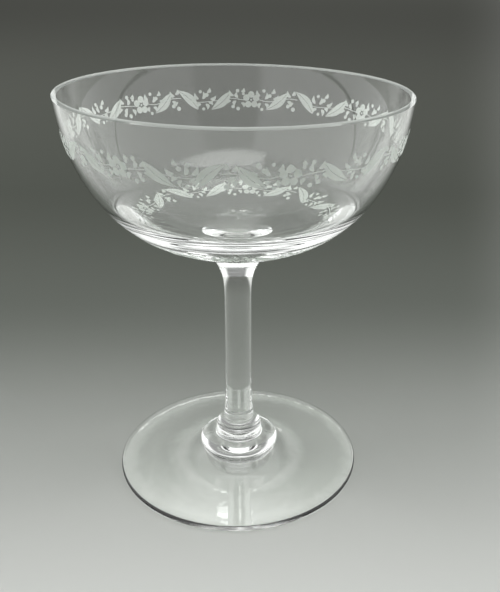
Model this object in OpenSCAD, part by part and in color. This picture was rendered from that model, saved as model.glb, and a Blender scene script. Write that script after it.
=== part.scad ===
// Stemmed coupe glass of clear crystal, blown and drawn by hand.
// Four gathers of glass make it: bowl, stem, knop and foot. Each is fused hot to the
// next on a flat face, so neighbours share one plane and one diameter there.
// Millimetres, +Z up. The origin is on the table, under the middle of the foot.

/* [Bowl] */
// Height of the whole glass, from the table to the rim
glass_h = 120; // [105:0.5:140]
// Widest diameter of the bowl's outer curve, a little above the rim
bowl_d = 97.7; // [88:0.1:112]
// Height of the bowl's outer curve, from its lowest point to its widest
bowl_curve_h = 54.4; // [48:0.1:58]
// How far above the rim the bowl's curve would be widest
rim_lean_h = 8.5; // [4:0.1:12]
// Exponent of the bowl's curve: 2 is an ellipse, more is squarer
bowl_squareness = 2.35; // [2:0.05:2.8]
// Wall thickness of the bowl near the rim
wall_t = 1.3; // [0.9:0.05:2]
// Extra height of the pad of glass left at the bottom of the bowl
pad_h = 4.2; // [2:0.1:5]
// Diameter at which half of the pad's height is left
pad_d = 62; // [50:0.5:70]
// Power of the pad's edge: more makes it run out more steeply
pad_power = 10; // [5:1:12]

/* [Stem] */
// Diameter of the stem at its waist
stem_d = 8.1; // [6.5:0.1:9.5]
// Diameter of the stem's flare where it is fused to the bowl
flare_d = 22; // [18:0.1:28]
// Height of the flare, from the waist up to the bowl
flare_h = 17; // [12:0.1:24]
// Power of the flare: more keeps the stem slim for longer
flare_power = 2.9; // [1.8:0.1:5]
// Diameter of the stem's lower end, where it is fused to the knop
stem_end_d = 10.1; // [9.6:0.1:12]
// Height over which the stem swells to its lower end
swell_h = 14.5; // [8:0.1:20]
// Power of the swell: more keeps the stem slim for longer
swell_power = 2.2; // [1.5:0.1:4]

/* [Knop] */
// Diameter of the button of the knop
button_d = 25; // [22:0.1:30]
// Height of the button
button_h = 5.8; // [4:0.1:9]
// Height of the button's widest place above its base
belly_h = 3.4; // [1.5:0.1:3.6]
// Diameter of the button's base, where it is fused to the foot
seat_d = 21.6; // [18:0.1:21.8]
// Diameter of the collar that stands on the button
collar_d = 14.7; // [13:0.1:17]
// Height of the collar above the button
collar_h = 5.4; // [3:0.1:8]
// Height of the collar's straight side, below its round shoulder
collar_side_h = 1.2; // [0.4:0.1:2.4]
// Width of the small hollow between the collar and the button's top
collar_fillet_r = 0.6; // [0.2:0.05:1]

/* [Foot] */
// Diameter of the foot
foot_d = 77; // [68:0.1:86]
// Height of the foot at its middle, where the knop is fused to it
foot_h = 4; // [3.2:0.1:6]
// Thickness of the foot's rounded edge
edge_t = 1.8; // [1.2:0.05:2.4]
// Power of the foot's upper slope: more falls away faster from the knop
slope_power = 4; // [2:0.5:7]
// Width of the flat ring that the foot rests on
rest_w = 5; // [3:0.1:9]
// Height of the hollow under the middle of the foot
hollow_h = 0.9; // [0.3:0.05:1.5]

/* [Hidden] */
$fn = 128;
// Steps along each long curve of an outline, and along each short one
curve_steps = 32;
short_steps = 10;
quarter = 90;

// Bowl: heights of its curve, and the two half widths
curve_top = glass_h + rim_lean_h;
outer_half = bowl_d / 2;
inner_half = outer_half - wall_t;
inner_curve_h = bowl_curve_h - wall_t;
pad_r = pad_d / 2;
rim_round = wall_t / 2;
rim_turn_z = glass_h - rim_round;

// Joints: the plane of each and its radius
flare_r = flare_d / 2;
stem_end_r = stem_end_d / 2;
seat_r = seat_d / 2;
bowl_joint_angle = start_angle(flare_r, outer_half);
bowl_joint_z = bowl_point(outer_half, bowl_curve_h, bowl_joint_angle)[1];
button_top_z = foot_h + button_h;
knop_top_z = button_top_z + collar_h;

// Stem, knop and foot
stem_r = stem_d / 2;
waist_z = bowl_joint_z - flare_h;
button_r = button_d / 2;
collar_r = collar_d / 2;
belly_z = foot_h + belly_h;
foot_r = foot_d / 2;
edge_r = edge_t / 2;
flat_r = foot_r - edge_r;
hollow_r = flat_r - rest_w;

// Angle round the bowl's curve at which it has a radius, and at which it has a height
function start_angle(r, half) = asin(pow(r / half, bowl_squareness / 2));
function height_angle(z, rise) = acos(pow((curve_top - z) / rise, bowl_squareness / 2));

// Point of the bowl's curve at an angle, from its lowest point at zero
function bowl_point(half, rise, angle) =
    [half * pow(sin(angle), 2 / bowl_squareness),
     curve_top - rise * pow(cos(angle), 2 / bowl_squareness)];

// Stretch of the bowl's curve between two angles
function bowl_curve(half, rise, from, to) =
    [for (k = [0:curve_steps]) bowl_point(half, rise, from + (to - from) * k / curve_steps)];

// Point of the bowl's inside, raised by the pad at the bottom, which halves at the pad's radius
function padded(point) = [point[0], point[1] + pad_h * pow(2, -pow(point[0] / pad_r, pad_power))];

// Stretch of an ellipse about a centre, between two angles from the outward direction
function ellipse_arc(centre, half_w, half_h, from, to, steps) =
    [for (k = [0:steps])
        let (angle = from + (to - from) * k / steps)
        [centre[0] + half_w * cos(angle), centre[1] + half_h * sin(angle)]];

// Flare of the stem, from its waist up and out to the bowl
function flare_curve() =
    [for (k = [0:curve_steps])
        let (share = k / curve_steps)
        [stem_r + (flare_r - stem_r) * pow(share, flare_power), waist_z + flare_h * share]];

// Swelling of the stem, from its lower end up to where it runs straight
function swell_curve() =
    [for (k = [0:curve_steps])
        let (share = k / curve_steps)
        [stem_r + (stem_end_r - stem_r) * pow(1 - share, swell_power),
         knop_top_z + swell_h * share]];

// Upper slope of the foot, from its seat out to its edge
function foot_slope() =
    [for (k = [0:curve_steps])
        let (share = k / curve_steps)
        [seat_r + (flat_r - seat_r) * share,
         edge_t + (foot_h - edge_t) * pow(1 - share, slope_power)]];

// Hollow under the foot, from the resting ring, which it leaves without a kink, to the middle
function foot_hollow() =
    [for (k = [0:curve_steps])
        let (share = 1 - k / curve_steps)
        [hollow_r * share, hollow_h * pow(1 - share * share, 2)]];

module lathe(outline) {
    rotate_extrude() polygon(outline);
}

// Blown bowl: thin at the fire-polished rim, thicker at the bottom
module bowl() {
    rim_out = bowl_point(outer_half, bowl_curve_h, height_angle(rim_turn_z, bowl_curve_h));
    rim_in = bowl_point(inner_half, inner_curve_h, height_angle(rim_turn_z, inner_curve_h));
    rim_half_w = (rim_out[0] - rim_in[0]) / 2;
    rim_centre = [rim_in[0] + rim_half_w, rim_turn_z];
    outside = bowl_curve(outer_half, bowl_curve_h, bowl_joint_angle,
                         height_angle(rim_turn_z, bowl_curve_h));
    rim = ellipse_arc(rim_centre, rim_half_w, rim_round, 0, 2 * quarter, short_steps);
    inside = bowl_curve(inner_half, inner_curve_h,
                        height_angle(rim_turn_z, inner_curve_h), 0);
    color("gainsboro")
        lathe(concat([[0, bowl_joint_z]], outside,
                     [for (k = [1:short_steps - 1]) rim[k]],
                     [for (point = inside) padded(point)]));
}

// Drawn stem: flared to the bowl, slim at the waist, swelling a little to the knop
module stem() {
    color("lightgray")
        lathe(concat([[0, knop_top_z]], swell_curve(), flare_curve(), [[0, bowl_joint_z]]));
}

// Knop: a flat round button with a shouldered collar on it
module knop() {
    fillet_out = collar_r + collar_fillet_r;
    fillet_top = button_top_z + collar_fillet_r;
    shoulder_z = fillet_top + collar_side_h;
    underside = ellipse_arc([seat_r, belly_z], button_r - seat_r, belly_h,
                            -quarter, 0, short_steps);
    top = ellipse_arc([fillet_out, belly_z], button_r - fillet_out, button_h - belly_h,
                      0, quarter, short_steps);
    fillet = ellipse_arc([fillet_out, fillet_top], collar_fillet_r, collar_fillet_r,
                         -quarter, -2 * quarter, short_steps);
    shoulder = ellipse_arc([stem_end_r, shoulder_z], collar_r - stem_end_r,
                           knop_top_z - shoulder_z, 0, quarter, short_steps);
    color("silver")
        lathe(concat([[0, foot_h]], underside, [for (k = [1:short_steps]) top[k]],
                     [for (k = [1:short_steps]) fillet[k]], shoulder, [[0, knop_top_z]]));
}

// Spread foot: a thin disc that rises to the knop, slightly hollow underneath
module foot() {
    edge = ellipse_arc([flat_r, edge_r], edge_r, edge_r, quarter, -quarter, short_steps);
    color("gainsboro")
        lathe(concat([[0, foot_h]], foot_slope(), [for (k = [1:short_steps]) edge[k]],
                     foot_hollow()));
}

bowl();
stem();
knop();
foot();
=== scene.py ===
"""Coupe glass of clear crystal with two engraved garlands, on a plain studio sweep.

The glass is four gathers fused hot: bowl, stem, knop and foot. Each is a closed solid of
revolution that takes the place of its plain solid in the frame. Where two gathers are fused
there is no surface to see, so the faces between them carry a clear material and light runs
from one gather into the next as it does in one body of glass. The garlands are thin frosted
relief on the outside of the bowl.
"""
import bisect
import math
import random
from collections import namedtuple

import bmesh
import bpy
from bpy.props import FloatProperty, FloatVectorProperty, IntProperty, PointerProperty
from mathutils import Matrix, Vector


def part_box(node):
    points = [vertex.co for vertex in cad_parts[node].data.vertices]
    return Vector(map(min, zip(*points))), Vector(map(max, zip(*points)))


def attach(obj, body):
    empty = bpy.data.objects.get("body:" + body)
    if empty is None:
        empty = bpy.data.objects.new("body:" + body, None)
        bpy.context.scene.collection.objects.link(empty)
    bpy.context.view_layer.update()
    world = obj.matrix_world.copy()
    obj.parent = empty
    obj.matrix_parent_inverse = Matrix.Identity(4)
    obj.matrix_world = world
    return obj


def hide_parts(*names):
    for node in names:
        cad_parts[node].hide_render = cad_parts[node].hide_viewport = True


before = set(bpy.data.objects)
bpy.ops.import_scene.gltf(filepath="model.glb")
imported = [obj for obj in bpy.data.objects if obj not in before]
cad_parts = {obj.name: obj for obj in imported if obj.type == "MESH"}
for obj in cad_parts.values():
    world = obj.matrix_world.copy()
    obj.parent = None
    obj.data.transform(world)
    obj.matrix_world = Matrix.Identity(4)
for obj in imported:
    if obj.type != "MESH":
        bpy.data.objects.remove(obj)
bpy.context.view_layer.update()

bl_info = {
    "name": "Coupe Glass",
    "version": (1, 0, 0),
    "blender": (4, 5, 0),
    "location": "View3D > Sidebar > Coupe Glass",
    "description": "Builds a stemmed crystal coupe with two engraved garlands",
    "category": "Add Mesh",
}

MM = 0.001
QUARTER = math.pi / 2
ROOT = "root"

# Resolution of the turned surfaces: facets round the axis, steps along long and short curves
FACETS = 256
LONG_STEPS = 110
SHORT_STEPS = 16
# A point nearer to the axis than this, in metres, is on it
ON_AXIS = 1e-9
# Materials of a turned piece: its own skin, the faces fused to its neighbours, and a rim
SKIN, FUSED, RIM = range(3)

# Ripples that hand tooling leaves in hot glass: how far apart and how high
RIPPLE_SPACING = 8 * MM
RIPPLE_HEIGHT = 0.1 * MM


def frame_top(node):
    """Height of a node's highest point, in millimetres."""
    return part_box(node)[1][2] / MM


def frame_width(node):
    """Width of a node across its middle, in millimetres."""
    return 2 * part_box(node)[1][0] / MM


def length(name, description, millimetres):
    """A length property with its default given in millimetres."""
    return FloatProperty(name=name, description=description, default=millimetres * MM,
                         min=0.0, unit="LENGTH", subtype="DISTANCE", precision=5)


def ratio(name, description, value):
    """A plain number property."""
    return FloatProperty(name=name, description=description, default=value)


def angle(name, description, degrees):
    """An angle property with its default given in degrees."""
    return FloatProperty(name=name, description=description, default=math.radians(degrees),
                         unit="ROTATION", subtype="ANGLE")


def linear(hex_colour):
    """An sRGB hex colour as linear values with alpha."""
    out = []
    for k in (0, 2, 4):
        c = int(hex_colour[k:k + 2], 16) / 255
        out.append(c / 12.92 if c <= 0.04045 else ((c + 0.055) / 1.055) ** 2.4)
    return (*out, 1.0)


def colour(name, description, hex_colour):
    """A colour property with its default given as an sRGB hex value."""
    return FloatVectorProperty(name=name, description=description, subtype="COLOR", size=4,
                               min=0.0, max=1.0, default=linear(hex_colour))


class GlassSizes(bpy.types.PropertyGroup):
    """Sizes of the four gathers of glass."""

    glass_height: length("Height", "Height of the whole glass", frame_top("bowl"))
    bowl_width: length("Bowl width", "Widest diameter of the bowl's outer curve", 97.7)
    bowl_curve: length("Bowl curve", "Height of the bowl's outer curve", 54.4)
    rim_lean: length("Rim lean", "How far above the rim the curve is widest", 8.5)
    squareness: ratio("Squareness", "Exponent of the bowl's curve", 2.35)
    wall: length("Wall", "Wall thickness near the rim", 1.3)
    pad_height: length("Pad height", "Extra glass at the bottom of the bowl", 4.2)
    pad_width: length("Pad width", "Width at which half of the extra glass is left", 62.0)
    pad_power: ratio("Pad power", "How steeply the extra glass runs out", 10.0)
    stem_width: length("Stem width", "Diameter of the stem at its waist", 8.1)
    flare_width: length("Flare width", "Diameter of the flare at the bowl", 22.0)
    flare_height: length("Flare height", "Height of the flare", 17.0)
    flare_power: ratio("Flare power", "Power of the flare's curve", 2.9)
    stem_end_width: length("Stem end width", "Diameter of the stem's lower end", 10.1)
    swell_height: length("Swell height", "Height of the stem's lower swelling", 14.5)
    swell_power: ratio("Swell power", "Power of the swelling's curve", 2.2)
    button_width: length("Button width", "Diameter of the knop's button", frame_width("knop"))
    button_height: length("Button height", "Height of the button", 5.8)
    belly_height: length("Belly height", "Height of the button's widest place", 3.4)
    seat_width: length("Seat width", "Diameter of the button's base", 21.6)
    collar_width: length("Collar width", "Diameter of the collar", 14.7)
    collar_height: length("Collar height", "Height of the collar", 5.4)
    collar_side: length("Collar side", "Height of the collar's straight side", 1.2)
    collar_fillet: length("Collar fillet", "Hollow between collar and button", 0.6)
    foot_width: length("Foot width", "Diameter of the foot", frame_width("foot"))
    foot_height: length("Foot height", "Height of the foot at its middle", frame_top("foot"))
    edge: length("Edge", "Thickness of the foot's rounded edge", 1.8)
    slope_power: ratio("Slope power", "Power of the foot's upper slope", 4.0)
    rest: length("Resting ring", "Width of the ring that the foot rests on", 5.0)
    hollow: length("Hollow", "Height of the hollow under the foot", 0.9)


class GarlandSizes(bpy.types.PropertyGroup):
    """Sizes of the two engraved garlands."""

    upper_height: length("Upper height", "Height of the upper garland's middle line", 108.5)
    lower_height: length("Lower height", "Height of the lower garland's middle line", 81.3)
    upper_cover: ratio("Upper cover", "How much light the upper garland's frosting stops", 0.6)
    lower_cover: ratio("Lower cover", "How much light the lower garland's frosting stops", 0.9)
    relief: length("Relief", "Thickness of the frosted skin", 0.03)
    lift: length("Lift", "Gap between the skin and the glass", 0.012)
    leaf_width: length("Leaf width", "Width of a leaf", 3.0)
    petal: length("Petal", "Length of a petal", 2.1)
    eye: length("Eye", "Radius of the flower's clear eye", 0.7)
    berry: length("Berry", "Radius of a berry", 0.6)
    twig: length("Twig", "Width of a twig", 0.24)
    bud_width: length("Bud width", "Width of a pointed bud or small leaf", 1.15)
    bud_bend: length("Bud bend", "How far a bud bends out of the straight", 0.45)
    vein: length("Vein", "Width of the clear vein along a leaf", 0.14)


class GlassFinish(bpy.types.PropertyGroup):
    """Finish of the glass and the engraving, the floor's colours with the painted shade behind the
    glass, and the surroundings.
    """

    ior: ratio("IOR", "Refractive index of lead crystal", 1.545)
    clear: colour("Glass", "Tint of the glass", "FDFEFD")
    frost: colour("Engraving", "Colour of the frosted engraving", "E4E8E4")
    rim_cover: ratio("Rim cover", "How much light the softly ground rim stops", 0.6)
    near_floor: colour("Near floor", "Floor well in front of the glass", "F8FAF6")
    # The middle, far and back greys are painted shade: the floor's colour darkens behind the glass
    # in place of the lamps' fall-off, and lightens again far back
    middle_floor_shade: colour("Middle floor", "Floor behind the foot", "6A6E68")
    far_floor_shade: colour("Far floor", "Floor behind the glass, at its darkest", "555852")
    back_floor_shade: colour("Back floor", "Floor at the back, where the lamps hardly reach", "9A9C94")
    tent: colour("Tent", "Colour of the soft boxes that the glass shows", "FBFCFB")
    tent_back: ratio("Tent back", "How bright the surroundings are between the soft boxes", 0.25)
    even_light: ratio("Even light", "How bright the surroundings are for matt surfaces", 0.2)
    surround: ratio("Surround", "How bright the camera sees the pale surround, 1 is white", 0.9)


class StudioSizes(bpy.types.PropertyGroup):
    """Camera and stage."""

    distance: length("Distance", "Camera's distance in front of the glass", 215.2)
    height: length("Camera height", "Camera's height above the floor", 156.4)
    pitch: angle("Pitch", "How far the camera looks down", 24.81)
    yaw: angle("Yaw", "How far the camera is turned to the right", 4.24)
    roll: angle("Roll", "How far the camera is rolled", 1.31)
    focal_pixels: ratio("Focal length", "Focal length in pixels of the photograph", 774.1)
    centre_x: ratio("Centre x", "Pixel column of the optical axis", 290.0)
    centre_y: ratio("Centre y", "Pixel row of the optical axis", 300.0)
    photo_width: IntProperty(name="Photo width", description="Width in pixels", default=500)
    photo_height: IntProperty(name="Photo height", description="Height in pixels", default=592)


def sizes():
    """The sizes of the glass in use."""
    return bpy.context.scene.coupe_sizes


def garland_sizes():
    """The sizes of the garlands in use."""
    return bpy.context.scene.coupe_garland


def finish():
    """The finishes in use."""
    return bpy.context.scene.coupe_finish


# Outlines: lists of (radius, height)

def outer_curve():
    """The bowl's outside: half width, rise and exponent."""
    s = sizes()
    return s.bowl_width / 2, s.bowl_curve, s.squareness


def inner_curve():
    """The bowl's inside without the pad at the bottom: half width, rise and exponent."""
    s = sizes()
    return s.bowl_width / 2 - s.wall, s.bowl_curve - s.wall, s.squareness


def padded(point):
    """A point of the bowl's inside, raised by the pad of glass at the bottom."""
    s = sizes()
    radius, height = point
    return radius, height + s.pad_height * 2 ** -((2 * radius / s.pad_width) ** s.pad_power)


def curve_point(curve, turn):
    """Point of a bowl curve at an angle from its lowest point."""
    half, rise, squareness = curve
    s = sizes()
    top = s.glass_height + s.rim_lean
    return (half * math.sin(turn) ** (2 / squareness),
            top - rise * math.cos(turn) ** (2 / squareness))


def turn_at_radius(curve, radius):
    """Angle at which a bowl curve has a radius."""
    half, _, squareness = curve
    return math.asin((radius / half) ** (squareness / 2))


def turn_at_height(curve, height):
    """Angle at which a bowl curve has a height."""
    _, rise, squareness = curve
    s = sizes()
    return math.acos(((s.glass_height + s.rim_lean - height) / rise) ** (squareness / 2))


def curve_points(curve, start, end):
    """Stretch of a bowl curve between two angles."""
    return [curve_point(curve, start + (end - start) * k / LONG_STEPS)
            for k in range(LONG_STEPS + 1)]


def bowl_joint():
    """Height and radius of the plane where bowl and stem are fused."""
    radius = sizes().flare_width / 2
    curve = outer_curve()
    return curve_point(curve, turn_at_radius(curve, radius))[1], radius


def knop_top():
    """Height of the plane where knop and stem are fused."""
    s = sizes()
    return s.foot_height + s.button_height + s.collar_height


def ellipse_arc(centre, half_width, half_height, start, end):
    """Stretch of an ellipse between two angles from the outward direction."""
    out = []
    for k in range(SHORT_STEPS + 1):
        turn = start + (end - start) * k / SHORT_STEPS
        out.append((centre[0] + half_width * math.cos(turn),
                    centre[1] + half_height * math.sin(turn)))
    return out


def turned(name, strokes, materials):
    """Closed solid of revolution. Each stroke is (material's place, outline), and begins where
    the one before ends. The first begins and the last ends on the axis."""
    bm = bmesh.new()

    def ring(point):
        radius, height = point
        if radius < ON_AXIS:
            return [bm.verts.new((0, 0, height))]
        return [bm.verts.new((radius * math.cos(turn), radius * math.sin(turn), height))
                for turn in (2 * math.pi * k / FACETS for k in range(FACETS))]

    first_outline = strokes[0][1]
    last = ring(first_outline[0])
    for index, outline in strokes:
        for point in outline[1:]:
            here = ring(point)
            for k in range(FACETS):
                j = (k + 1) % FACETS
                if len(last) == 1:
                    corners = (last[0], here[j], here[k])
                elif len(here) == 1:
                    corners = (last[k], last[j], here[0])
                else:
                    corners = (last[k], last[j], here[j], here[k])
                face = bm.faces.new(corners)
                face.material_index = index
                face.smooth = True
            last = here
    bmesh.ops.recalc_face_normals(bm, faces=bm.faces)
    for edge in bm.edges:
        kinds = {f.material_index for f in edge.link_faces}
        edge.smooth = len(kinds) == 1
    mesh = bpy.data.meshes.new(name)
    bm.to_mesh(mesh)
    bm.free()
    for material in materials:
        mesh.materials.append(material)
    piece = bpy.data.objects.new(name, mesh)
    bpy.context.scene.collection.objects.link(piece)
    return piece


def dress(piece, node):
    """Ride a piece of glass on the frame in the place of its plain solid."""
    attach(piece, ROOT)
    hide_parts(node)


# Materials

def add(tree, kind, inputs=None, **settings):
    """A node with its settings. An input, named or counted, takes a value, the socket that
    feeds it, or a node, which means that node's first output."""
    node = tree.nodes.new("ShaderNode" + kind)
    for key, value in settings.items():
        setattr(node, key, value)
    for key, value in (inputs or {}).items():
        source = value.outputs[0] if isinstance(value, bpy.types.Node) else value
        if isinstance(source, bpy.types.NodeSocket):
            tree.links.new(source, node.inputs[key])
        else:
            node.inputs[key].default_value = source
    return node


def fresh_material(name):
    """A material with an empty node tree, and the tree."""
    material = bpy.data.materials.get(name) or bpy.data.materials.new(name)
    material.use_nodes = True
    material.node_tree.nodes.clear()
    return material, material.node_tree


def lead_crystal(name, shade="ECEDEC", ripple_share=0.0, ripple_scale=(1.0, 1.0, 1.0)):
    """Lead crystal, blown or drawn and fire-polished: clear as water, mirror-smooth, and
    with a high index, so edges and thick places flash white and the walls all but vanish.
    A faint ripple is what hand tooling leaves. The shade is the light that goes straight on
    to the floor: nearly all of it through thin glass, and little through a thick round piece,
    which bends it aside."""
    material, tree = fresh_material(name)
    skin = {"Base Color": finish().clear, "IOR": finish().ior,
            "Roughness": 0.0, "Transmission Weight": 1.0}
    if ripple_share:
        place = add(tree, "TexCoord")
        spread = add(tree, "Mapping", {"Vector": place.outputs["Object"], "Scale": ripple_scale})
        wave = add(tree, "TexNoise",
                   {"Vector": spread, "Scale": 1 / RIPPLE_SPACING, "Detail": 2.0})
        skin["Normal"] = add(tree, "Bump", {"Height": wave, "Strength": ripple_share,
                                            "Distance": RIPPLE_HEIGHT})
    shine = add(tree, "BsdfPrincipled", skin)
    clear = add(tree, "BsdfTransparent", {"Color": linear(shade)})
    path = add(tree, "LightPath")
    both = add(tree, "MixShader", {0: path.outputs["Is Shadow Ray"], 1: shine, 2: clear})
    add(tree, "OutputMaterial", {"Surface": both})
    return material


def fused_glass():
    """The face between two gathers that were fused hot: no surface is left to see."""
    material, tree = fresh_material("fused_glass")
    clear = add(tree, "BsdfTransparent")
    add(tree, "OutputMaterial", {"Surface": clear})
    return material


def wheel_engraving(name, cover):
    """Crystal ground matt on a wheel: a fine frosted skin that scatters the light, white where
    it catches a lamp and half clear where it is thin. The rim, ground level and then softened
    in the fire, shows as a white line for the same reason."""
    material, tree = fresh_material(name)
    frost = finish().frost
    matt = add(tree, "BsdfDiffuse", {"Color": frost, "Roughness": 0.5})
    through = add(tree, "BsdfTranslucent", {"Color": frost})
    skin = add(tree, "MixShader", {0: 0.5, 1: matt, 2: through})
    clear = add(tree, "BsdfTransparent")
    both = add(tree, "MixShader", {0: cover, 1: clear, 2: skin})
    add(tree, "OutputMaterial", {"Surface": both})
    return material


class CoupeBowl(bpy.types.Operator):
    """Blow the bowl: thin at the rim, thicker at the bottom"""
    bl_idname = "coupe.bowl"
    bl_label = "Bowl"

    def execute(self, context):
        s = sizes()
        joint_z, joint_r = bowl_joint()
        turn_z = s.glass_height - s.wall / 2
        outer, inner = outer_curve(), inner_curve()
        outside = curve_points(outer, turn_at_radius(outer, joint_r),
                               turn_at_height(outer, turn_z))
        inside = [padded(point) for point in curve_points(inner, turn_at_height(inner, turn_z), 0)]
        rim_half = (outside[-1][0] - inside[0][0]) / 2
        rim = ellipse_arc((inside[0][0] + rim_half, turn_z), rim_half, s.wall / 2, 0, math.pi)
        piece = turned("bowl_crystal",
                       [(FUSED, [(0, joint_z), outside[0]]), (SKIN, outside),
                        (RIM, [outside[-1]] + rim[1:-1] + [inside[0]]), (SKIN, inside)],
                       [lead_crystal("blown_crystal", ripple_share=0.05), fused_glass(),
                        wheel_engraving("ground_rim", finish().rim_cover)])
        dress(piece, "bowl")
        return {"FINISHED"}


class CoupeStem(bpy.types.Operator):
    """Draw the stem: flared to the bowl, slim at the waist, swelling to the knop"""
    bl_idname = "coupe.stem"
    bl_label = "Stem"

    def execute(self, context):
        s = sizes()
        joint_z, joint_r = bowl_joint()
        waist, end = s.stem_width / 2, s.stem_end_width / 2
        low, start = knop_top(), joint_z - s.flare_height
        shares = [k / LONG_STEPS for k in range(LONG_STEPS + 1)]
        swell = [(waist + (end - waist) * (1 - t) ** s.swell_power, low + s.swell_height * t)
                 for t in shares]
        flare = [(waist + (joint_r - waist) * t ** s.flare_power, start + s.flare_height * t)
                 for t in shares]
        piece = turned("stem_crystal",
                       [(FUSED, [(0, low), swell[0]]), (SKIN, swell + flare),
                        (FUSED, [flare[-1], (0, joint_z)])],
                       [lead_crystal("drawn_crystal", "B0B2B0", 0.08, (1.0, 1.0, 0.3)),
                        fused_glass()])
        dress(piece, "stem")
        return {"FINISHED"}


class CoupeKnop(bpy.types.Operator):
    """Shape the knop: a flat round button with a shouldered collar on it"""
    bl_idname = "coupe.knop"
    bl_label = "Knop"

    def execute(self, context):
        s = sizes()
        seat, button, collar = s.seat_width / 2, s.button_width / 2, s.collar_width / 2
        end, top = s.stem_end_width / 2, knop_top()
        belly = s.foot_height + s.belly_height
        rise = s.button_height - s.belly_height
        fillet_out = collar + s.collar_fillet
        fillet_z = s.foot_height + s.button_height + s.collar_fillet
        shoulder = fillet_z + s.collar_side
        skin = ellipse_arc((seat, belly), button - seat, s.belly_height, -QUARTER, 0)
        skin += ellipse_arc((fillet_out, belly), button - fillet_out, rise, 0, QUARTER)[1:]
        skin += ellipse_arc((fillet_out, fillet_z), s.collar_fillet, s.collar_fillet,
                            -QUARTER, -2 * QUARTER)[1:]
        skin += ellipse_arc((end, shoulder), collar - end, top - shoulder, 0, QUARTER)
        piece = turned("knop_crystal",
                       [(FUSED, [(0, s.foot_height), skin[0]]), (SKIN, skin),
                        (FUSED, [skin[-1], (0, top)])],
                       [lead_crystal("tooled_crystal", "707270"), fused_glass()])
        dress(piece, "knop")
        return {"FINISHED"}


class CoupeFoot(bpy.types.Operator):
    """Spread the foot: a thin disc that rises to the knop, hollow underneath"""
    bl_idname = "coupe.foot"
    bl_label = "Foot"

    def execute(self, context):
        s = sizes()
        seat, edge = s.seat_width / 2, s.edge / 2
        flat = s.foot_width / 2 - edge
        hollow = flat - s.rest
        slope = []
        for k in range(LONG_STEPS + 1):
            t = k / LONG_STEPS
            slope.append((seat + (flat - seat) * t,
                          s.edge + (s.foot_height - s.edge) * (1 - t) ** s.slope_power))
        skin = slope + ellipse_arc((flat, edge), edge, edge, QUARTER, -QUARTER)[1:]
        for k in range(LONG_STEPS + 1):
            t = 1 - k / LONG_STEPS
            skin.append((hollow * t, s.hollow * (1 - t * t) ** 2))
        piece = turned("foot_crystal",
                       [(FUSED, [(0, s.foot_height), slope[0]]), (SKIN, skin)],
                       [lead_crystal("spread_crystal", ripple_share=0.5), fused_glass()])
        dress(piece, "foot")
        return {"FINISHED"}


# Each flower of a garland stands at an azimuth, clockwise from the far side, seen from above.
# A hand engraver spaces them by eye, so the steps are not quite even.
UPPER_FLOWERS = (-40.3, 6.1, 57.1, 110.0, 165.0, 215.8, 268.0)
LOWER_FLOWERS = (-82.0, 8.8, 97.0, 187.0)
# How far a petal and a bud may be turned out of line, in degrees, and how far a bud's length
# may be off, in millimetres. The seed makes them fall out the same each time.
PETAL_TURN = 5
BUD_TURN = 8
BUD_LENGTH_SPREAD = 0.2
SEED = 7


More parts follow.
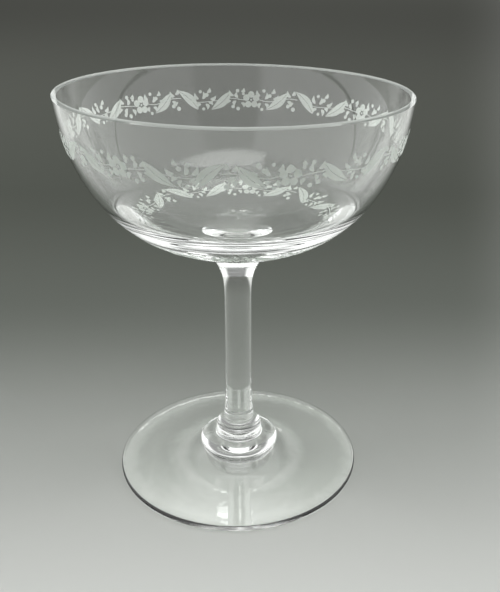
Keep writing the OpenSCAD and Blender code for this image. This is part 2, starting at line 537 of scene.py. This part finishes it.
class Relief:
    """Thin closed shapes laid on the outside of the bowl. A place is (u, v): the way round
    the bowl on the garland's middle line, and the way up the bowl's curve from that line."""

    # The bowl's curve is kept for this angle each way from the middle line, in so many steps
    REACH = 0.12
    HALF_STEPS = 40

    def __init__(self, middle_z):
        self.bm = bmesh.new()
        g = garland_sizes()
        self.lift, self.relief = g.lift, g.relief
        curve = outer_curve()
        middle = turn_at_height(curve, middle_z)
        self.mean_r = curve_point(curve, middle)[0]
        turns = [middle + self.REACH * (k / self.HALF_STEPS - 1)
                 for k in range(2 * self.HALF_STEPS + 1)]
        self.profile = [curve_point(curve, turn) for turn in turns]
        self.lengths = [0.0]
        for p, q in zip(self.profile[:-1], self.profile[1:]):
            self.lengths.append(self.lengths[-1] + math.dist(p, q))
        self.lengths = [step - self.lengths[self.HALF_STEPS] for step in self.lengths]

    def point(self, u, v, out):
        """A corner at a place, so far out from the glass."""
        k = min(max(bisect.bisect(self.lengths, v), 1), len(self.lengths) - 1)
        (r0, z0), (r1, z1) = self.profile[k - 1], self.profile[k]
        step = self.lengths[k] - self.lengths[k - 1]
        share = (v - self.lengths[k - 1]) / step
        radius = r0 + (r1 - r0) * share + (z1 - z0) / step * out
        height = z0 + (z1 - z0) * share - (r1 - r0) / step * out
        turn = u / self.mean_r
        return self.bm.verts.new((radius * math.sin(turn), radius * math.cos(turn), height))

    def skin(self, rows):
        """A closed thin solid over a grid of (u, v) points."""
        low = [[self.point(u, v, self.lift) for u, v in row] for row in rows]
        high = [[self.point(u, v, self.lift + self.relief) for u, v in row] for row in rows]
        end, side = len(rows) - 1, len(rows[0]) - 1
        for i in range(end):
            for j in range(side):
                self.face(low[i][j], low[i][j + 1], low[i + 1][j + 1], low[i + 1][j])
                self.face(high[i][j], high[i + 1][j], high[i + 1][j + 1], high[i][j + 1])
        # The grid's border, once round
        border = [(0, j) for j in range(side)]
        border += [(i, side) for i in range(end)]
        border += [(end, j) for j in range(side, 0, -1)]
        border += [(i, 0) for i in range(end, 0, -1)]
        for k, (i, j) in enumerate(border):
            p, q = border[(k + 1) % len(border)]
            self.face(low[i][j], high[i][j], high[p][q], low[p][q])

    def face(self, *corners):
        """A face between corners."""
        self.bm.faces.new(corners)

    def blade(self, start, end, width, bend, widest=0.55, gap=0.0, steps=14):
        """A pointed leaf from start to end, widest at a share of its length. A gap leaves its
        middle vein clear, and then the leaf is two halves, one on each side."""
        fullness, blunt_share = 0.8, 0.04
        du, dv = end[0] - start[0], end[1] - start[1]
        span = math.hypot(du, dv)
        along, across = (du / span, dv / span), (-dv / span, du / span)
        lead = math.log(0.5) / math.log(widest)
        for side in ((1, -1) if gap else (0,)):
            rows = []
            for k in range(steps + 1):
                t = k / steps
                shape = math.sin(math.pi * t ** lead) ** fullness
                half = max(blunt_share * width, width / 2 * shape)
                curve = bend * math.sin(math.pi * t)
                edges = (side * min(gap / 2, half / 2), side * half) if gap else (-half, half)
                rows.append([(start[0] + along[0] * span * t + across[0] * (curve + e),
                              start[1] + along[1] * span * t + across[1] * (curve + e))
                             for e in (edges[0], (edges[0] + edges[1]) / 2, edges[1])])
            self.skin(rows)

    def dot(self, centre, radius, stretch=1.0, lean=0.0, rings=3, sides=14):
        """A round berry, or a petal when stretched along its lean."""
        hub_share = 0.04
        rows = []
        for i in range(rings + 1):
            r = radius * (hub_share + (1 - hub_share) * i / rings)
            row = []
            for j in range(sides + 1):
                turn = 2 * math.pi * j / sides
                x, y = r * stretch * math.cos(turn), r * math.sin(turn)
                row.append((centre[0] + x * math.cos(lean) - y * math.sin(lean),
                            centre[1] + x * math.sin(lean) + y * math.cos(lean)))
            rows.append(row)
        self.skin(rows)

    def twig(self, points, width):
        """A fine line through points. Between each two, a cubic curve that also follows the
        point before and the point after them."""
        steps = 6
        path = []
        for a, b, c, d in zip([points[0]] + points[:-2], points[:-1], points[1:],
                              points[2:] + [points[-1]]):
            for k in range(steps):
                t = k / steps
                path.append(tuple(
                    0.5 * (2 * b[i] + (c[i] - a[i]) * t
                           + (2 * a[i] - 5 * b[i] + 4 * c[i] - d[i]) * t * t
                           + (3 * b[i] - a[i] - 3 * c[i] + d[i]) * t ** 3) for i in (0, 1)))
        path.append(points[-1])
        rows = []
        for k, (u, v) in enumerate(path):
            p, q = path[max(k - 1, 0)], path[min(k + 1, len(path) - 1)]
            du, dv = q[0] - p[0], q[1] - p[1]
            size = math.hypot(du, dv)
            nu, nv = -dv / size * width / 2, du / size * width / 2
            rows.append([(u - nu, v - nv), (u + nu, v + nv)])
        self.skin(rows)

    def piece(self, name, material):
        """All that was laid on so far, as one piece."""
        bmesh.ops.recalc_face_normals(self.bm, faces=self.bm.faces)
        mesh = bpy.data.meshes.new(name)
        self.bm.to_mesh(mesh)
        self.bm.free()
        mesh.materials.append(material)
        piece = bpy.data.objects.new(name, mesh)
        bpy.context.scene.collection.objects.link(piece)
        return piece


def flower(relief, u, chance):
    """An open five-petalled flower with a clear eye and a dot in the eye."""
    g = garland_sizes()
    petals, petal_stretch, eye_dot_share = 5, 1.02, 0.45
    reach = g.eye + g.petal / 2
    for k in range(petals):
        turn = math.radians(90 + 360 / petals * k + chance.uniform(-PETAL_TURN, PETAL_TURN))
        centre = (u + reach * math.cos(turn), reach * math.sin(turn))
        relief.dot(centre, g.petal / 2, petal_stretch, turn, rings=4, sides=18)
    relief.dot((u, 0), g.eye * eye_dot_share)


def swag(relief, start, span, chance):
    """One stretch of the garland between two flowers: three leaves, twigs, berries and buds.
    Places are a share of the way to the next flower and millimetres above the middle line."""
    g = garland_sizes()

    def at(share, height):
        return (start + share * span, height * MM)

    def leaf(a, b, bend):
        relief.blade(at(*a), at(*b), g.leaf_width, bend * MM, gap=g.vein)

    def bud(share, height, lean, size):
        tip = math.radians(lean + chance.uniform(-BUD_TURN, BUD_TURN))
        base = at(share, height)
        size = (size + chance.uniform(-BUD_LENGTH_SPREAD, BUD_LENGTH_SPREAD)) * MM
        end = (base[0] + size * math.cos(tip), base[1] + size * math.sin(tip))
        outward = 1 if math.cos(tip) * math.sin(tip) < 0 else -1
        relief.blade(base, end, g.bud_width, g.bud_bend * outward, widest=0.36, steps=8)

    # From the base to the tip of each leaf, and how far it bends
    leaf((0.124, -3.1), (0.292, 2.6), -0.6)
    leaf((0.358, 3.4), (0.528, -3.0), 0.6)
    leaf((0.645, -3.2), (0.822, 2.5), -0.6)
    relief.twig([at(0.06, 0.1), at(0.13, -0.4), at(0.2, 0.0), at(0.3, 0.9), at(0.38, 0.8)], g.twig)
    relief.twig([at(0.46, -0.2), at(0.54, -0.7), at(0.62, -0.6), at(0.72, -0.2)], g.twig)
    relief.twig([at(0.77, 0.6), at(0.86, 0.3), at(0.94, -0.1)], g.twig)
    # Berries, each with its size as a share of the usual one
    for share, height, size in ((0.1, 3.0, 0.9), (0.15, 1.5, 1.0), (0.09, -3.0, 0.9),
                                (0.305, -1.5, 1.1), (0.35, -2.4, 1.2), (0.555, 2.7, 0.9),
                                (0.61, 1.6, 1.1), (0.575, -2.9, 0.9), (0.84, -2.3, 1.0),
                                (0.885, -2.9, 1.1), (0.88, 2.9, 1.0), (0.93, 1.9, 0.8)):
        relief.dot(at(share, height), g.berry * size)
    # Buds and small leaves, each with the way it points, in degrees, and its length
    for share, height, lean, size in (
            (0.07, 1.2, 112, 2.3), (0.115, 0.3, 76, 2.2), (0.165, 2.2, 66, 1.8),
            (0.18, 0.4, 35, 2.0), (0.075, -0.9, 262, 1.8), (0.115, -1.0, 300, 1.6),
            (0.32, 1.4, 118, 2.2), (0.335, 2.0, 70, 1.7), (0.3, 0.2, 300, 1.8),
            (0.345, -0.2, 255, 1.6), (0.51, 0.0, 140, 2.0), (0.535, 0.2, 112, 2.6),
            (0.575, 0.2, 84, 2.4), (0.615, 2.3, 62, 1.8), (0.64, 0.1, 38, 2.5),
            (0.555, -1.2, 228, 1.9), (0.6, -1.2, 282, 2.1), (0.625, -0.8, 322, 1.7),
            (0.845, 1.1, 128, 2.3), (0.88, 0.5, 92, 2.2), (0.915, 2.4, 60, 1.6),
            (0.94, 0.4, 44, 2.1), (0.82, -0.3, 222, 2.0), (0.865, -0.3, 262, 1.9),
            (0.915, -0.9, 292, 2.0)):
        bud(share, height, lean, size)


class CoupeGarland(bpy.types.Operator):
    """Engrave the two garlands round the bowl, one below the rim and one near the bottom"""
    bl_idname = "coupe.garland"
    bl_label = "Garlands"

    def execute(self, context):
        g = garland_sizes()
        for name, height, flowers, cover in (
                ("upper_garland", g.upper_height, UPPER_FLOWERS, g.upper_cover),
                ("lower_garland", g.lower_height, LOWER_FLOWERS, g.lower_cover)):
            relief = Relief(height)
            chance = random.Random(SEED)
            around = flowers + (flowers[0] + 360,)
            for here, after in zip(around[:-1], around[1:]):
                start = math.radians(here) * relief.mean_r
                span = math.radians(after - here) * relief.mean_r
                flower(relief, start, chance)
                swag(relief, start, span, chance)
            piece = relief.piece(name, wheel_engraving(name + "_engraving", cover))
            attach(piece, ROOT)
        return {"FINISHED"}


# The stage. Half of the floor's width, and how far it lies below the foot, so that their
# faces don't meet
FLOOR_REACH = 4.0
FLOOR_DROP = 0.05 * MM
# Where the floor's painted shade turns from one grey to the next, from start to end, in metres
# behind the glass, and where its pale front starts and ends
MIDDLE_FLOOR_SHADE = (-0.23, 0.13)
FAR_FLOOR_SHADE = (0.02, 0.3)
BACK_FLOOR_SHADE = (0.3, 2.4)
FRONT_FLOOR = (-0.06, -0.2)
# The painted shade on the floor is a fan. Its apex is so far in front of the glass, and on
# each side it turns pale between two angles from straight back
FAN_APEX = 0.3
LEFT_SIDE = (math.radians(-16), math.radians(-40))
RIGHT_SIDE = (math.radians(14), math.radians(46))
# Width of the camera's sensor, in millimetres
SENSOR_WIDTH = 36.0

# Soft lamps: where each stands and what it faces, and its width and height, all in metres
Lamp = namedtuple("Lamp", "name place aim width height watts")
LAMPS = (
    Lamp("soft_lamp_left", (-0.9, 0.15, 0.7), (0, 0, 0.08), 0.7, 0.9, 7.6),
    Lamp("soft_lamp_right", (0.9, 0.1, 0.6), (0, 0, 0.08), 0.5, 0.9, 4.5),
    Lamp("soft_lamp_above", (0.0, -0.2, 1.2), (0, 0, 0), 0.9, 0.7, 5.2),
)

# Soft boxes that the glass shows, in degrees seen from the glass: azimuth clockwise from the
# back, elevation, half the width and height and the width of the soft edge. A strength of 1
# is white.
SoftBox = namedtuple("SoftBox", "azimuth elevation half_width half_height soft_edge strength")
SOFT_BOXES = (
    # The walls at the left and the right
    SoftBox(-94, 12, 73, 50, 20, 1.8),
    SoftBox(91, 15, 64, 50, 20, 1.5),
    # The front, and the ceiling all round
    SoftBox(180, 15, 40, 50, 20, 1.2),
    SoftBox(0, 90, 181, 46, 20, 1.3),
    # A small lamp high above the back, and the glow round it
    SoftBox(-0.5, 40, 1.7, 1.0, 0.8, 6.0),
    SoftBox(-1, 38, 6, 5, 9, 2.0),
    # A long box high in front, which gives the white haze inside the bowl
    SoftBox(156, 69, 62, 17, 10, 3.6),
)


def sight(tree):
    """1 for the rays of the camera and for those that glass shows, 0 for those that light."""
    path = add(tree, "LightPath")
    share = path.outputs["Is Camera Ray"]
    for kind in ("Is Glossy Ray", "Is Transmission Ray"):
        share = add(tree, "Math", {0: share, 1: path.outputs[kind]}, operation="ADD")
    return share


def paper_with_painted_shade():
    """Matt studio paper: pale in front and at the sides. In a fan behind the glass its colour
    falls off to dark grey, painted shade in place of the lamps' fall-off, so that clear glass
    stands out on it. Where it is pale, what the camera and the glass see of it has one even
    brightness, and no lamp's fall-off shows."""
    material, tree = fresh_material("paper_with_painted_shade")
    f = finish()
    place = add(tree, "NewGeometry")
    split = add(tree, "SeparateXYZ", {0: place.outputs["Position"]})
    back = split.outputs["Y"]
    from_apex = add(tree, "Math", {0: back, 1: FAN_APEX}, operation="ADD")
    turn = add(tree, "Math", {0: split.outputs["X"], 1: from_apex}, operation="ARCTAN2")
    shares = []
    # Shares along each change: the middle, far and back ones lay the painted shade behind the
    # glass, the front and the sides bring back the pale floor
    for value, (start, end), course in (
            (back, MIDDLE_FLOOR_SHADE, "SMOOTHSTEP"), (back, FAR_FLOOR_SHADE, "SMOOTHSTEP"),
            (back, BACK_FLOOR_SHADE, "LINEAR"), (back, FRONT_FLOOR, "SMOOTHSTEP"),
            (turn, LEFT_SIDE, "SMOOTHSTEP"), (turn, RIGHT_SIDE, "SMOOTHSTEP")):
        shares.append(add(tree, "MapRange", {"Value": value, "From Min": start, "From Max": end},
                          interpolation_type=course))
    middle, far, rear, front, left, right = shares
    side = add(tree, "Math", {0: left, 1: right}, operation="MAXIMUM")
    pale = add(tree, "Math", {0: side, 1: front}, operation="MAXIMUM")
    # The paper's colour: pale, then the greys of painted shade behind the glass, then pale again
    # at the sides
    tone = f.near_floor
    for share, next_tone in ((middle, f.middle_floor_shade), (far, f.far_floor_shade),
                             (rear, f.back_floor_shade), (side, f.near_floor)):
        mix = add(tree, "Mix", {0: share, 6: tone, 7: next_tone}, data_type="RGBA")
        tone = mix.outputs[2]
    paper = add(tree, "BsdfDiffuse", {"Color": tone})
    path = add(tree, "LightPath")
    dimmed = add(tree, "Math", {0: path.outputs["Is Camera Ray"], 1: 1 - f.surround},
                 operation="MULTIPLY")
    strength = add(tree, "Math", {0: 1.0, 1: dimmed}, operation="SUBTRACT")
    glow = add(tree, "Emission", {"Color": f.near_floor, "Strength": strength})
    glow_share = add(tree, "Math", {0: pale, 1: sight(tree)}, operation="MULTIPLY")
    both = add(tree, "MixShader", {0: glow_share, 1: paper, 2: glow})
    add(tree, "OutputMaterial", {"Surface": both})
    return material


class CoupeStage(bpy.types.Operator):
    """Set up the floor, the lamps, the surroundings and the camera"""
    bl_idname = "coupe.stage"
    bl_label = "Stage"

    def execute(self, context):
        scene = context.scene
        self.camera(scene)
        self.floor(scene)
        self.surroundings(scene)
        self.lamps(scene)
        scene.view_settings.view_transform = "Standard"
        # A ray crosses many faces of glass on its way
        scene.cycles.max_bounces = 24
        scene.cycles.transmission_bounces = 24
        scene.cycles.transparent_max_bounces = 32
        scene.cycles.glossy_bounces = 12
        return {"FINISHED"}

    def camera(self, scene):
        """The photograph's camera: a small shift, because the photograph is cropped."""
        c = scene.coupe_studio
        ahead = Vector((math.sin(c.yaw) * math.cos(c.pitch),
                        math.cos(c.yaw) * math.cos(c.pitch), -math.sin(c.pitch)))
        level = Vector((math.cos(c.yaw), -math.sin(c.yaw), 0))
        upright = level.cross(ahead)
        right = math.cos(c.roll) * level + math.sin(c.roll) * upright
        up = -math.sin(c.roll) * level + math.cos(c.roll) * upright
        data = bpy.data.cameras.new("camera")
        data.sensor_width = SENSOR_WIDTH
        data.lens = c.focal_pixels / c.photo_height * SENSOR_WIDTH
        data.shift_x = (c.photo_width / 2 - c.centre_x) / c.photo_height
        data.shift_y = (c.centre_y - c.photo_height / 2) / c.photo_height
        data.clip_start = 1 * MM
        camera = bpy.data.objects.new("camera", data)
        turn = Matrix((right, up, -ahead)).transposed().to_4x4()
        camera.matrix_world = Matrix.Translation((0, -c.distance, c.height)) @ turn
        scene.collection.objects.link(camera)
        scene.camera = camera

    def floor(self, scene):
        """A wide flat sheet of studio paper."""
        corners = [(FLOOR_REACH * x, FLOOR_REACH * y, -FLOOR_DROP)
                   for x, y in ((-1, -1), (1, -1), (1, 1), (-1, 1))]
        mesh = bpy.data.meshes.new("floor")
        mesh.from_pydata(corners, [], [(0, 1, 2, 3)])
        mesh.materials.append(paper_with_painted_shade())
        floor = bpy.data.objects.new("floor", mesh)
        scene.collection.objects.link(floor)

    def lamps(self, scene):
        """Soft lamps for the matt surfaces. Neither the camera nor the glass shows them."""
        for lamp in LAMPS:
            data = bpy.data.lights.new(lamp.name, "AREA")
            data.shape = "RECTANGLE"
            data.size, data.size_y = lamp.width, lamp.height
            data.energy = lamp.watts
            light = bpy.data.objects.new(lamp.name, data)
            light.location = lamp.place
            ahead = Vector(lamp.aim) - Vector(lamp.place)
            light.rotation_euler = ahead.to_track_quat("-Z", "Y").to_euler()
            light.visible_camera = False
            light.visible_glossy = False
            light.visible_transmission = False
            scene.collection.objects.link(light)

    def surroundings(self, scene):
        """A white tent of soft boxes round the glass. The glass shows them at full strength,
        the camera sees them no brighter than the surround, and matt surfaces get even light."""
        world = bpy.data.worlds.new("surroundings")
        scene.world = world
        world.use_nodes = True
        tree = world.node_tree
        tree.nodes.clear()
        f = finish()
        way = add(tree, "TexCoord")
        split = add(tree, "SeparateXYZ", {0: way.outputs["Generated"]})
        azimuth = add(tree, "Math", {0: split.outputs["X"], 1: split.outputs["Y"]},
                      operation="ARCTAN2")
        rise = add(tree, "Math", {0: split.outputs["Z"]}, operation="ARCSINE")
        light = f.tent_back
        for box in SOFT_BOXES:
            turn = add(tree, "Math", {0: azimuth, 1: math.radians(box.azimuth)},
                       operation="SUBTRACT")
            across = add(tree, "Math", {0: turn, 1: math.pi, 2: -math.pi}, operation="WRAP")
            above = add(tree, "Math", {0: rise, 1: math.radians(box.elevation)},
                        operation="SUBTRACT")
            bright = box.strength
            for offset, half in ((across, box.half_width), (above, box.half_height)):
                away = add(tree, "Math", {0: offset}, operation="ABSOLUTE")
                inside = add(tree, "MapRange",
                             {"Value": away, "From Min": math.radians(half + box.soft_edge / 2),
                              "From Max": math.radians(half - box.soft_edge / 2)},
                             interpolation_type="SMOOTHSTEP")
                bright = add(tree, "Math", {0: inside, 1: bright}, operation="MULTIPLY")
            light = add(tree, "Math", {0: bright, 1: light}, operation="MAXIMUM")
        muted = add(tree, "Math", {0: light, 1: f.surround}, operation="MINIMUM")
        in_glass = add(tree, "Background", {"Color": f.tent, "Strength": light})
        straight = add(tree, "Background", {"Color": f.tent, "Strength": muted})
        even = add(tree, "Background", {"Color": linear("FFFFFF"), "Strength": f.even_light})
        path = add(tree, "LightPath")
        seen = add(tree, "MixShader",
                   {0: path.outputs["Is Camera Ray"], 1: in_glass, 2: straight})
        both = add(tree, "MixShader", {0: sight(tree), 1: even, 2: seen})
        add(tree, "OutputWorld", {"Surface": both})


class CoupePanel(bpy.types.Panel):
    """Buttons and sizes of the coupe"""
    bl_idname = "VIEW3D_PT_coupe"
    bl_label = "Coupe Glass"
    bl_space_type = "VIEW_3D"
    bl_region_type = "UI"
    bl_category = "Coupe Glass"

    def draw(self, context):
        for operator in PIECES:
            self.layout.operator(operator.bl_idname)
        for group in GROUPS:
            box = self.layout.box()
            values = getattr(context.scene, group)
            for key in values.__annotations__:
                box.prop(values, key)


PIECES = (CoupeStage, CoupeBowl, CoupeStem, CoupeKnop, CoupeFoot, CoupeGarland)
GROUPS = {"coupe_sizes": GlassSizes, "coupe_garland": GarlandSizes,
          "coupe_finish": GlassFinish, "coupe_studio": StudioSizes}


def register():
    """Make the sizes, the operators and the panel known."""
    for group in GROUPS.values():
        bpy.utils.register_class(group)
    for key, group in GROUPS.items():
        setattr(bpy.types.Scene, key, PointerProperty(type=group))
    for cls in PIECES + (CoupePanel,):
        bpy.utils.register_class(cls)


def unregister():
    """Take them away again, last first."""
    for cls in (CoupePanel,) + PIECES[::-1]:
        bpy.utils.unregister_class(cls)
    for key in GROUPS:
        delattr(bpy.types.Scene, key)
    for group in GROUPS.values():
        bpy.utils.unregister_class(group)


def main():
    """Build the stage and the glass."""
    register()
    for step in (bpy.ops.coupe.stage, bpy.ops.coupe.bowl, bpy.ops.coupe.stem,
                 bpy.ops.coupe.knop, bpy.ops.coupe.foot, bpy.ops.coupe.garland):
        step()


if __name__ == "__main__":
    main()
